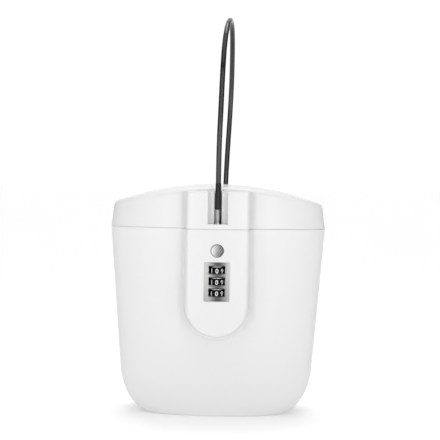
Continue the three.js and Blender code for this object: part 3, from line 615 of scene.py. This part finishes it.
def cornerRows(offset, count):
    # round the body's bottom edge
    rows = []
    for i in range(count):
        angle = math.pi / 2 * i / count
        z = offset + (plan["cornerHigh"] - offset) * (1 - math.cos(angle))
        rows.append(bodyRow(z, offset, cornerAngle=angle))
    return rows


def shrunkRow(row, share):
    centreY = sum(p[1] for p in row) / len(row)
    return [(x * share, centreY + (y - centreY) * share, z) for x, y, z in row]


def bodyRows():
    # from the middle of the base up the outside, over the rim and down the inside
    topZ = plan["seamZ"] - plan["gap"]
    lip, wall, deckZ = plan["lip"], plan["wall"], panel["deckZ"]
    outer = cornerRows(0, grid["outerCorner"])
    rows = [shrunkRow(outer[0], share) for share in grid["base"]] + outer
    heights = [z for stretch in grid["outside"] for z in spread(*stretch)]
    rows += [bodyRow(z, 0) for z in heights + grid["outsideTop"]]
    for angle in quarter:
        rows.append(bodyRow(topZ - lip + lip * math.sin(angle), 0, lip * (1 - math.cos(angle))))
    seatZ = topZ - plan["sealSeat"]
    rim = ((topZ, plan["rimInset"]), (seatZ, plan["seatInset"]), (seatZ, wall),
           (deckZ + plan["deckStep"], wall))
    rows += [bodyRow(z, offset, raised=False) for z, offset in rim]
    heights = [deckZ] + [z for stretch in grid["inside"] for z in reversed(spread(*stretch))]
    rows += [bodyRow(z, wall) for z in heights + grid["insideFoot"]]
    inner = cornerRows(wall, grid["innerCorner"])
    rows += list(reversed(inner))
    rows += [shrunkRow(inner[0], share) for share in grid["floor"]]
    return rows


hinge = {
    "y": 54.6, "z": 164, "radius": 4, "bodyLong": 12, "lidLong": 11.2, "pitch": 12.0, "web": 6, "bore": 2.3,
    "webFrontY": 48.4, "clear": 0.4, "rodEdge": 0.35, "webEdge": 0.3, "boreLong": 90,
    "pin": 2, "pinLong": 58, "pinEdge": 0.4,
}


def addKnuckles(places, long, webFoot, webTop):
    parts = []
    for place in places:
        x = place * hinge["pitch"]
        rod = addRod("X", (x, hinge["y"], hinge["z"]), hinge["radius"], long, bevel=hinge["rodEdge"])
        web = addBox(x - long / 2, x + long / 2, hinge["webFrontY"], hinge["y"], webFoot, webTop,
                     bevel=hinge["webEdge"])
        parts.append(cutWith(rod, web, "UNION"))
    bore = addRod("X", (0, hinge["y"], hinge["z"]), hinge["bore"], hinge["boreLong"])
    return cutWith(joinPieces(*parts), bore)


button = {"z": 145.8, "hole": 5.7, "holeY": -64, "holeLong": 12}
window = {"half": 11, "foot": 102.65, "top": 136.1, "frontY": -70, "backY": -58, "edge": 0.5}
deckHole = {"z": 162, "radius": 5, "long": 8}       # where the ferrule goes into the lock


def addBodyShell():
    piece = sheetFromRows(bodyRows())
    cutWith(piece, addRod("Y", (0, button["holeY"], button["z"]), button["hole"], button["holeLong"],
                          sides=96))
    cutWith(piece, addBox(-window["half"], window["half"], window["frontY"], window["backY"],
                          window["foot"], window["top"], bevel=window["edge"]))
    cutWith(piece, addRod("Z", (0, lockY, deckHole["z"]), deckHole["radius"], deckHole["long"]))
    knuckles = addKnuckles((-2, 0, 2), hinge["bodyLong"], hinge["z"] - hinge["web"],
                           hinge["z"] - hinge["clear"])
    joinPieces(piece, knuckles)
    smooth(piece, 32)
    finishPiece(piece, "bodyShell", "body", whitePlastic, "white_plastic", "body_shell")


def crownZ(x, y, offset):
    arc = lidForm["radius"] - math.sqrt(lidForm["radius"] ** 2 - x * x)
    dome = lidForm["drop"] * ((y - lidForm["crestY"]) / lidForm["reach"]) ** 2
    return lidForm["crestZ"] - arc - dome - offset


def grooveBack(x, offset):
    # outside a narrow slot for the cable between two shelves, inside a round trough
    half = groove["half"] + offset
    if abs(x) >= half:
        return -math.inf
    if offset == 0:
        return groove["floorY"] if abs(x) < groove["slotHalf"] else groove["shelfY"]
    return groove["floorY"] + offset - groove["rise"] * (x / half) ** 2


def lidRows(offset, sideShares, filletSteps, capShares):
    # from the seam up the lid's side, round its edge and in over the crown
    footZ = plan["seamZ"] + plan["gap"]
    edge = lidForm["edge"] - offset / 2
    lean = lidForm["lean"]
    rim = planRow(offset + lean + edge, offset + lean + edge)
    edgeZ = [crownZ(x, y, offset) for x, y in rim]
    panelTop = panel["topZ"] - offset
    topZ = []
    for (x, y), z in zip(rim, edgeZ):
        own = z - lidForm["topDrop"]
        share = 1 if y > plan["widestY"] else eased(lidForm["blendFrom"], lidForm["blendTo"], abs(x))
        topZ.append(panelTop + (own - panelTop) * share)

    def profileInset(z, c):
        wallTop = edgeZ[c] - edge
        if z <= wallTop:
            return lean * (z - footZ) / (wallTop - footZ)
        return lean + edge - math.sqrt(max(edge * edge - (z - wallTop) ** 2, 0))

    def fullRow(heights, lip, withPanel):
        # each column at its own height on the lid's side
        row = []
        cache = {}
        for c, z in enumerate(heights):
            inset = offset + lip + profileInset(z, c)
            key = round(inset, 5)
            if key not in cache:
                cache[key] = planRow(inset, inset)
            x, y = cache[key][c]
            if withPanel:
                face = panelFaceY(x, offset, lip)
                nearTop = z - (panelTop - panel["topEdge"])
                if nearTop > 0:
                    t = min(nearTop / panel["topEdge"], 1)
                    face += panel["topEdge"] * (1 - math.sqrt(1 - t * t))
                y += (face - y) * panelShare(x, y, panel["roundZ"], offset, lip)
            grooved = offset > 0 or z > groove["ledgeZ"]
            if grooved and y < plan["widestY"]:
                y = max(y, grooveBack(x, offset))
            row.append((x, y, z))
        return row

    rows = []
    for share, lip in sideShares:
        heights = [footZ + (top - footZ) * share for top in topZ]
        rows.append(fullRow(heights, lip, True))
    rows.append(fullRow([top - lidForm["topStep"] for top in topZ], 0, False))
    for i in range(1, filletSteps + 1):
        heights = []
        for c, top in enumerate(topZ):
            wallTop = edgeZ[c] - edge
            start = math.asin(min(max((top - wallTop) / edge, -1), 1)) if top > wallTop else 0
            angle = start + (math.pi / 2 - start) * i / filletSteps
            heights.append(wallTop + edge * math.sin(angle))
        rows.append(fullRow(heights, 0, False))
    last = [(x, y, z) for (x, y), z in zip(rim, edgeZ)]
    for share in capShares:
        row = []
        for x, y, z in shrunkRow(last, share):
            back = max(y, grooveBack(x, offset)) if y < plan["widestY"] else y
            row.append((x, back, crownZ(x, y, offset)))
        rows.append(row)
    return rows


def sideLadder():
    # shares of the lid's side height and the lip's inset, from the seam to the panel's top
    footZ = plan["seamZ"] + plan["gap"]
    high = panel["topZ"] - footZ
    ledge = groove["ledgeZ"] - plan["seamZ"] - plan["gap"]
    lip, topEdge, step = plan["lip"], panel["topEdge"], grid["ledgeStep"]
    ladder = [(lip * (1 - math.cos(a)) / high, lip * (1 - math.sin(a))) for a in quarter]
    heights = grid["sideLow"] + [ledge - step, ledge + step]
    heights += spread(ledge + grid["aboveLedge"], high - topEdge, grid["side"])
    heights += [high - topEdge * (1 - math.sin(a)) for a in quarter]
    return ladder + [(z / high, 0) for z in heights]


lidParts = {
    "capOuter": (0.975, 0.95, 0.92, 0.88, 0.82, 0.75, 0.66, 0.56, 0.45, 0.33, 0.2, 0.08, 0),
    "capInner": (0.95, 0.88, 0.75, 0.5, 0.25, 0), "sideInner": (0, 0.05, 0.2, 0.4, 0.6, 0.8, 0.93, 1),
    "ferruleHole": 3.4, "ferruleHoleZ": 166, "ferruleHoleLong": 8,
    "rear": (6, 38), "rearHole": 5, "rearHoleZ": 200, "rearHoleLong": 16,
    "seat": (-14, 14, -46.2, -36, 165.5, 170.1), "seatEdge": 0.4,      # the striker's shelf
}


def addLidShell():
    sideInner = [(share, 0) for share in lidParts["sideInner"]]
    outer = lidRows(0, sideLadder(), grid["outerEdge"], lidParts["capOuter"])
    inner = lidRows(lidForm["wall"], sideInner, grid["innerEdge"], lidParts["capInner"])
    piece = sheetFromRows(list(reversed(outer)) + inner)
    cutWith(piece, addRod("Z", (0, lockY, lidParts["ferruleHoleZ"]), lidParts["ferruleHole"],
                          lidParts["ferruleHoleLong"]))
    cutWith(piece, addRod("Z", (*lidParts["rear"], lidParts["rearHoleZ"]), lidParts["rearHole"],
                          lidParts["rearHoleLong"]))
    seat = addBox(*lidParts["seat"], bevel=lidParts["seatEdge"])
    knuckles = addKnuckles((-1, 1), hinge["lidLong"], hinge["z"] + hinge["clear"], hinge["z"] + hinge["web"])
    joinPieces(piece, seat, knuckles)
    smooth(piece, 32)
    finishPiece(piece, "lidShell", "lid", whitePlastic, "white_plastic", "lid_shell")


# inset from the plan, and height, round the seal's section
seal = [(1.2, 162.5), (1.2, 163.7), (1.45, 163.95), (1.95, 163.95), (2.2, 163.7), (2.2, 162.5)]


def addSeal():
    # a rubber bead in the rim
    rows = [[(x, y, z) for x, y in planRow(inset, inset)] for inset, z in seal]
    piece = sheetFromRows(rows + [rows[0]])
    smooth(piece, 50)
    finishPiece(piece, "lidSeal", "body", blackRubber, "black_rubber", "lid_seal")


def addHingePin():
    piece = addRod("X", (0, hinge["y"], hinge["z"]), hinge["pin"], hinge["pinLong"], bevel=hinge["pinEdge"])
    smooth(piece)
    finishPiece(piece, "hingePin", "body", springSteel, "spring_steel", "hinge_pin")


addBodyShell()
print("body shell made")
addLidShell()
addSeal()
print("lid shell made")
addHingePin()


# dial: dished bezel, wheels and digits

dial = {
    "half": 10.92, "foot": 102.73, "top": 136.02, "floorY": -64.8, "bend": 62, "thick": 0.8, "edge": 0.12,
    "windowHalf": 7.05, "windowHigh": 6.9, "dotX": 0.9, "dotZ": (134.5, 124.8, 115.1, 105.4), "dot": 0.5,
    "dotLong": 0.6, "dotEdge": 0.24, "dotSunk": 0.1, "wheelZ": (129.6, 119.95, 110.3),
    "stripY": (-67, -62), "cutY": (-68, -60),
}
wheel = {
    "radius": 7.5, "thick": 6.5, "chamfer": 0.4, "footChamfer": 0.2, "edge": 0.08, "bore": 2.3,
    "rimWide": 1.1, "rimDeep": 0.5,
    "band": (2.25, 2.85), "bandProud": 0.05, "bandDeep": 0.3, "bandEdge": 0.1,      # above the numbers
}
digits = {
    "size": 4.9, "height": 3.9, "raise": 0.07, "sunk": 0.13, "swell": 0.014, "drop": 1, "smoothness": 5,
}


def addBezel():
    # a strip of a tall ring, hollow towards the front, with three windows and a dot on each rib
    high = dial["top"] - dial["foot"]
    centreZ = (dial["top"] + dial["foot"]) / 2
    bendY = dial["floorY"] - dial["bend"]
    piece = addRod("Z", (0, bendY, centreZ), dial["bend"] + dial["thick"], high, sides=720)
    cutWith(piece, addRod("Z", (0, bendY, centreZ), dial["bend"], high + beyond, sides=720))
    strip = addBox(-dial["half"], dial["half"], *dial["stripY"], dial["foot"], dial["top"])
    cutWith(piece, strip, "INTERSECT")
    for z in dial["wheelZ"]:
        halfHigh = dial["windowHigh"] / 2
        cutWith(piece, addBox(-dial["windowHalf"], dial["windowHalf"], *dial["cutY"], z - halfHigh,
                              z + halfHigh))
    for z in dial["dotZ"]:
        dot = addRod("Y", (dial["dotX"], dial["floorY"] + dial["dotSunk"], z), dial["dot"], dial["dotLong"],
                     bevel=dial["dotEdge"], sides=24)
        cutWith(piece, dot, "UNION")
    bevelEdges(piece, dial["edge"], segments=2, angle=50)
    smooth(piece, 30)
    finishPiece(piece, "dialBezel", "body", bezelSilver, "satin_silver", "dial_bezel")


def addDigit(text, angle, z):
    # text made a mesh, then wrapped round the wheel at its angle
    selectNone()
    bpy.ops.object.text_add(location=(0, 0, 0))
    letter = bpy.context.object
    letter.data.body = text
    letter.data.align_x = "CENTER"
    letter.data.size = digits["size"] * mm
    letter.data.offset = digits["swell"] * mm * digits["size"]
    letter.data.resolution_u = digits["smoothness"]
    letter.data.extrude = (digits["raise"] + digits["sunk"]) / 2 * mm
    selectOnly(letter)
    bpy.ops.object.convert(target="MESH")
    piece = bpy.context.object
    places = [vertex.co for vertex in piece.data.vertices]
    low, high = min(p.y for p in places), max(p.y for p in places)
    middle = (min(p.x for p in places) + max(p.x for p in places)) / 2
    face = (wheel["radius"] + digits["raise"]) * mm
    back = (wheel["radius"] - digits["sunk"]) * mm
    grow = digits["height"] * mm / (high - low)
    for vertex in piece.data.vertices:
        turn = angle + (vertex.co.x - middle) * grow / face
        up = (vertex.co.y - (low + high) / 2) * grow
        radius = face if vertex.co.z > 0 else back
        vertex.co = (radius * math.sin(turn), lockY * mm - radius * math.cos(turn),
                     (z - digits["drop"]) * mm + up)
    return piece


def addWheel(level, z):
    body = "wheel_" + level
    radius, thick = wheel["radius"], wheel["thick"]
    foot, top = z - thick / 2, z + thick / 2
    chamfer, footChamfer = wheel["chamfer"], wheel["footChamfer"]
    profile = [(radius - footChamfer, foot), (radius, foot + footChamfer), (radius, top - chamfer),
               (radius - chamfer, top)]
    drum = addTurned(profile, 0, lockY, sides=120)
    selectFaces(drum, lambda face: abs(face.normal.z) > 0.9)
    bpy.ops.mesh.inset(thickness=wheel["rimWide"] * mm, depth=-wheel["rimDeep"] * mm, use_individual=True)
    bpy.ops.object.mode_set(mode="OBJECT")
    bevelEdges(drum, wheel["edge"], segments=2, angle=40)
    cutWith(drum, addRod("Z", (0, lockY, z), wheel["bore"], thick + beyond, sides=48))
    smooth(drum, 40)
    finishPiece(drum, "numberWheel." + level, body, wheelBlack, "black_plastic", "number_wheel_" + level)
    low, high = wheel["band"]
    band = addRod("Z", (0, lockY, z + (low + high) / 2), radius + wheel["bandProud"], high - low,
                  bevel=wheel["bandEdge"], sides=120)
    cutWith(band, addRod("Z", (0, lockY, z), radius - wheel["bandDeep"], thick + beyond, sides=120))
    smooth(band, 40)
    finishPiece(band, "wheelBand." + level, body, springSteel, "spring_steel")
    numerals = [addDigit(str(k), -k * math.pi / 5, z) for k in range(10)]
    ring = settle(joinPieces(*numerals))
    closeUp(ring, reach=0.000001)
    finishPiece(ring, "wheelDigits." + level, body, digitWhite, "white_plastic")


addBezel()
for wheelLevel, wheelHeight in zip(("top", "middle", "bottom"), dial["wheelZ"]):
    addWheel(wheelLevel, wheelHeight)
print("dial made")


# button: a shallow dished cap on a stem, with the wedge that moves the latch

press = {
    "cap": 5.3, "frontY": -66.4, "capBackY": -61.8, "stem": 2.5, "tailY": -42.9, "dish": 0.5, "rings": 8,
    "rim": 0.4, "capEdge": 0.35, "stemEdge": 0.3, "stemInside": 1,
    "wedge": (-0.2, 6.5, -58.4, -55.4, 143.6, 148), "wedgeEdge": 0.2,
}


def addButton():
    long = press["capBackY"] - press["frontY"]
    middleY = (press["frontY"] + press["capBackY"]) / 2
    cap = addRod("Y", (0, middleY, button["z"]), press["cap"], long, sides=96)
    bevelEdges(cap, press["capEdge"], segments=4, angle=40)
    selectFaces(cap, lambda face: face.normal.y < -0.99 and face.center.y < (press["frontY"] + 0.01) * mm)
    rings = press["rings"] + 1
    for ring in range(press["rings"]):
        outer, inner = 1 - ring / rings, 1 - (ring + 1) / rings
        bpy.ops.mesh.inset(thickness=(press["cap"] - press["rim"]) * mm / rings,
                           depth=-press["dish"] * (outer ** 2 - inner ** 2) * mm)
    bpy.ops.object.mode_set(mode="OBJECT")
    stemLong = press["tailY"] - press["capBackY"] + press["stemInside"]
    stem = addRod("Y", (0, press["tailY"] - stemLong / 2, button["z"]), press["stem"], stemLong,
                  bevel=press["stemEdge"])
    cutWith(cap, stem, "UNION")
    cutWith(cap, addBox(*press["wedge"], bevel=press["wedgeEdge"]), "UNION")
    smooth(cap, 40)
    finishPiece(cap, "releaseButton", "button", buttonSilver, "satin_silver", "release_button")


addButton()

grommet = {
    "profile": [(4.7, 192.9), (4.7, 198.9), (6.35, 199.1), (6.5, 199.35), (6.45, 199.7), (6.1, 200),
                (5.2, 200.15), (3.6, 200.1), (2.9, 199.8)],
    "top": 200.15, "bore": 2.7, "boreZ": 197, "boreLong": 20,
}


def addGrommet():
    # moved up or down to the solid's own top
    low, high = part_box("cable_grommet")
    shift = high.z / mm - grommet["top"]
    profile = [(r, max(z + shift, low.z / mm)) for r, z in grommet["profile"]]
    piece = addTurned(profile, *lidParts["rear"], sides=72)
    cutWith(piece, addRod("Z", (*lidParts["rear"], grommet["boreZ"]), grommet["bore"], grommet["boreLong"],
                          sides=48))
    smooth(piece, 40)
    finishPiece(piece, "cableGrommet", "lid", blackRubber, "black_rubber", "cable_grommet")


addGrommet()

springs = {
    "wire": 0.25, "wireSides": 10, "turnSteps": 28, "travel": 3.5,
    "latch": ("X", 5, "latch_shift"), "button": ("Y", 3, "button_press"),       # axis, turns, joint
}


def addSpring(key):
    # a ring of wire wound up its axis
    axis, turns, joint = springs[key]
    wire = springs["wire"]
    low, high = [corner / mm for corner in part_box(key + "_spring")]
    along = Vector([float(letter == axis) for letter in "XYZ"])
    long = (high - low).dot(along)
    coil = (high - low).z / 2 - wire
    selectNone()
    bpy.ops.mesh.primitive_circle_add(vertices=springs["wireSides"], radius=wire * mm,
                                      location=(coil * mm, 0, 0), rotation=(math.pi / 2, 0, 0))
    piece = settle(bpy.context.object)
    wound = springs["turnSteps"] * turns
    addModifier(piece, "SCREW", axis="Z", angle=2 * math.pi * turns, screw_offset=(long - 2 * wire) * mm,
                steps=wound, render_steps=wound)
    bpy.ops.object.mode_set(mode="EDIT")
    bpy.ops.mesh.select_all(action="SELECT")
    bpy.ops.mesh.fill_holes(sides=0)
    bpy.ops.mesh.normals_make_consistent(inside=False)
    bpy.ops.object.mode_set(mode="OBJECT")
    piece.rotation_euler = along.to_track_quat("Z", "Y").to_euler()
    piece.location = ((low + high) / 2 - along * (long / 2 - wire)) * mm
    settle(piece)
    smooth(piece, 50)
    finishPiece(piece, key + "Spring", "body", springSteel, "spring_steel", key + "_spring")
    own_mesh(piece)


addSpring("latch")
addSpring("button")
print("small pieces made")


# finishes for the construction pieces that stay as they are

carried = (
    (castZinc, ("gate_disc_top", "gate_disc_middle", "gate_disc_bottom", "lock_frame", "latch_slide",
                "ferrule_socket", "lid_striker", "cable_stop")),
    (springSteel, ("wheel_spindle", "detent_spring", "button_clip", "cover_screw_left_low",
                   "cover_screw_left_high", "cover_screw_right_low", "cover_screw_right_high",
                   "striker_screw_left", "striker_screw_right")),
    (greyPlastic, ("lock_cover",)),
    (leverBlack, ("code_change_lever",)),
)
for material, nodeNames in carried:
    for nodeName in nodeNames:
        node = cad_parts[nodeName]
        node.data.materials.clear()
        node.data.materials.append(material)


# studio: a pale floor and backdrop, tall strips either side of the camera, soft light from above

studio = {
    "floor": 30, "floorZ": -0.0002, "floorGlow": 0.27, "wallFar": 12, "wallHigh": 16, "wallFoot": -1,
    "sky": 0.236, "card": 0.81,
    "cardEdge": (0.35, 0.7), "cardSide": (0.3, 0.55), "stripFar": 1.35, "stripTall": 1.3, "stripHigh": 0.45,
    "stripAim": (0, 0, 0.15),
    "strips": ((20, 0.25, 3.35), (38, 0.35, 1.5)),       # turn from the camera, width, energy
    "suns": ((6, 80, 1.06), (-16, 30, 0.84)),            # lean, softness, energy
}


def addFloor():
    selectNone()
    bpy.ops.mesh.primitive_plane_add(size=studio["floor"], location=(0, 0, studio["floorZ"]))
    floor = bpy.context.object
    floor.name = "floor"
    f = Finish("white floor", roughness=0.7, specular_ior_level=0.1, emission_strength=studio["floorGlow"],
               emission_color=(1, 1, 1, 1))
    f.tint(f.noise(3), (0.75, 0.75, 0.75), (0.77, 0.77, 0.77))
    floor.data.materials.append(f.material)


def addWall():
    # a white wall all round that only the camera sees, so it adds no light
    selectNone()
    middleZ = studio["wallHigh"] / 2 + studio["wallFoot"]
    bpy.ops.mesh.primitive_cylinder_add(vertices=96, radius=studio["wallFar"], depth=studio["wallHigh"],
                                        end_fill_type="NOTHING", location=(0, 0, middleZ))
    wall = bpy.context.object
    wall.name = "wall"
    wall.visible_diffuse = False
    wall.visible_glossy = False
    wall.visible_transmission = False
    wall.visible_shadow = False
    f = Finish("white wall", emission_color=(1, 1, 1, 1), emission_strength=1.0, base_color=(0, 0, 0, 1))
    wall.data.materials.append(f.material)


def addBackdrop():
    # an even grey all round, and a white card behind the safe
    world = bpy.data.worlds.new("studio")
    world.use_nodes = True
    backdrop = Nodes(world.node_tree)
    direction = backdrop.node("ShaderNodeTexCoord")
    x = backdrop.node("ShaderNodeSeparateXYZ", None, {"Vector": direction})
    y = backdrop.node("ShaderNodeSeparateXYZ", None, {"Vector": direction}, out=1)
    sideways = backdrop.node("ShaderNodeMath", {"operation": "ABSOLUTE"}, {0: x})
    card = backdrop.ramp(y, *studio["cardEdge"], 0, studio["card"])
    card = card * backdrop.ramp(sideways, *studio["cardSide"], 1, 0)
    shade = backdrop.tree.nodes["Background"]
    backdrop.feed(shade.inputs["Color"], (1, 1, 1, 1))
    backdrop.feed(shade.inputs["Strength"], studio["sky"] + card)
    scene.world = world


def addStrip(turnOut, wide, energy):
    turn = math.radians(turnOut)
    far = studio["stripFar"]
    place = Vector((far * math.sin(turn), -far * math.cos(turn), studio["stripHigh"]))
    bpy.ops.object.light_add(type="AREA", location=place)
    light = bpy.context.object
    light.data.shape = "RECTANGLE"
    light.data.size = wide
    light.data.size_y = studio["stripTall"]
    light.data.energy = energy
    light.rotation_euler = (Vector(studio["stripAim"]) - place).to_track_quat("-Z", "Y").to_euler()


def addSun(lean, softness, energy):
    bpy.ops.object.light_add(type="SUN", location=(0, 0, 2), rotation=(math.radians(lean), 0, 0))
    sun = bpy.context.object
    sun.data.energy = energy
    sun.data.angle = math.radians(softness)


def addStudio():
    addFloor()
    addWall()
    addBackdrop()
    for side in (-1, 1):
        for turnOut, wide, energy in studio["strips"]:
            addStrip(side * turnOut, wide, energy)
    for sun in studio["suns"]:
        addSun(*sun)
    scene.view_settings.view_transform = "Standard"
    scene.view_settings.look = "None"


addStudio()
print("studio made")
